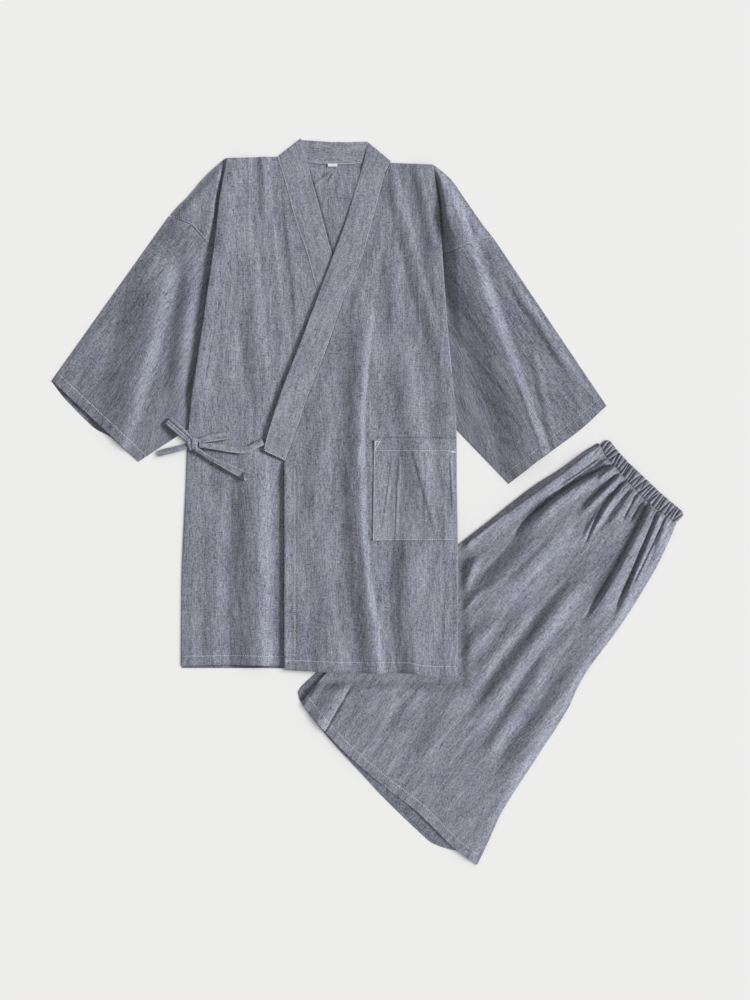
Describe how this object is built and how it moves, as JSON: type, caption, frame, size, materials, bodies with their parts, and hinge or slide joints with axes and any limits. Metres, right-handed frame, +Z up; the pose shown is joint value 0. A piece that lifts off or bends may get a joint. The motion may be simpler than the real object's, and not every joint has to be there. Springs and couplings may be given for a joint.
{
  "type": "jinbei set",
  "caption": "Wrap jacket with wide elbow sleeves, patch pocket and side tie, laid flat over matching knee-length shorts folded in half.",
  "frame": {"origin": "centre of the set's bounding box, at the surface it lies on", "axes": "+Y towards the collar, +Z up out of the cloth, +X towards the wearer's left side; the set is laid flat with its front up"},
  "size_m": [0.9794, 1.1263, 0.0212],
  "materials": {
    "cloth": "matt slub cotton chambray, blue-grey",
    "band": "the same cloth doubled, matt",
    "shorts_cloth": "matt slub cotton chambray, blue-grey",
    "white_cotton": "plain white cotton: woven tape and sewing thread"
  },
  "bodies": {
    "root": {"jacket_back": "cloth", "front_right": "cloth", "front_left": "cloth", "sleeve_right": "cloth", "sleeve_left": "cloth", "pocket": "cloth", "collar_back": "band", "collar_right": "band", "collar_left": "band", "label": "white_cotton", "tie_strap": "band", "tie_knot": "band", "tie_loop": "band", "tie_tail_left": "band", "tie_tail_upper": "band", "tie_tail_lower": "band", "shorts_leg_upper": "shorts_cloth", "shorts_layers": "shorts_cloth", "shorts_waistband": "shorts_cloth"}
  },
  "joints": []
}
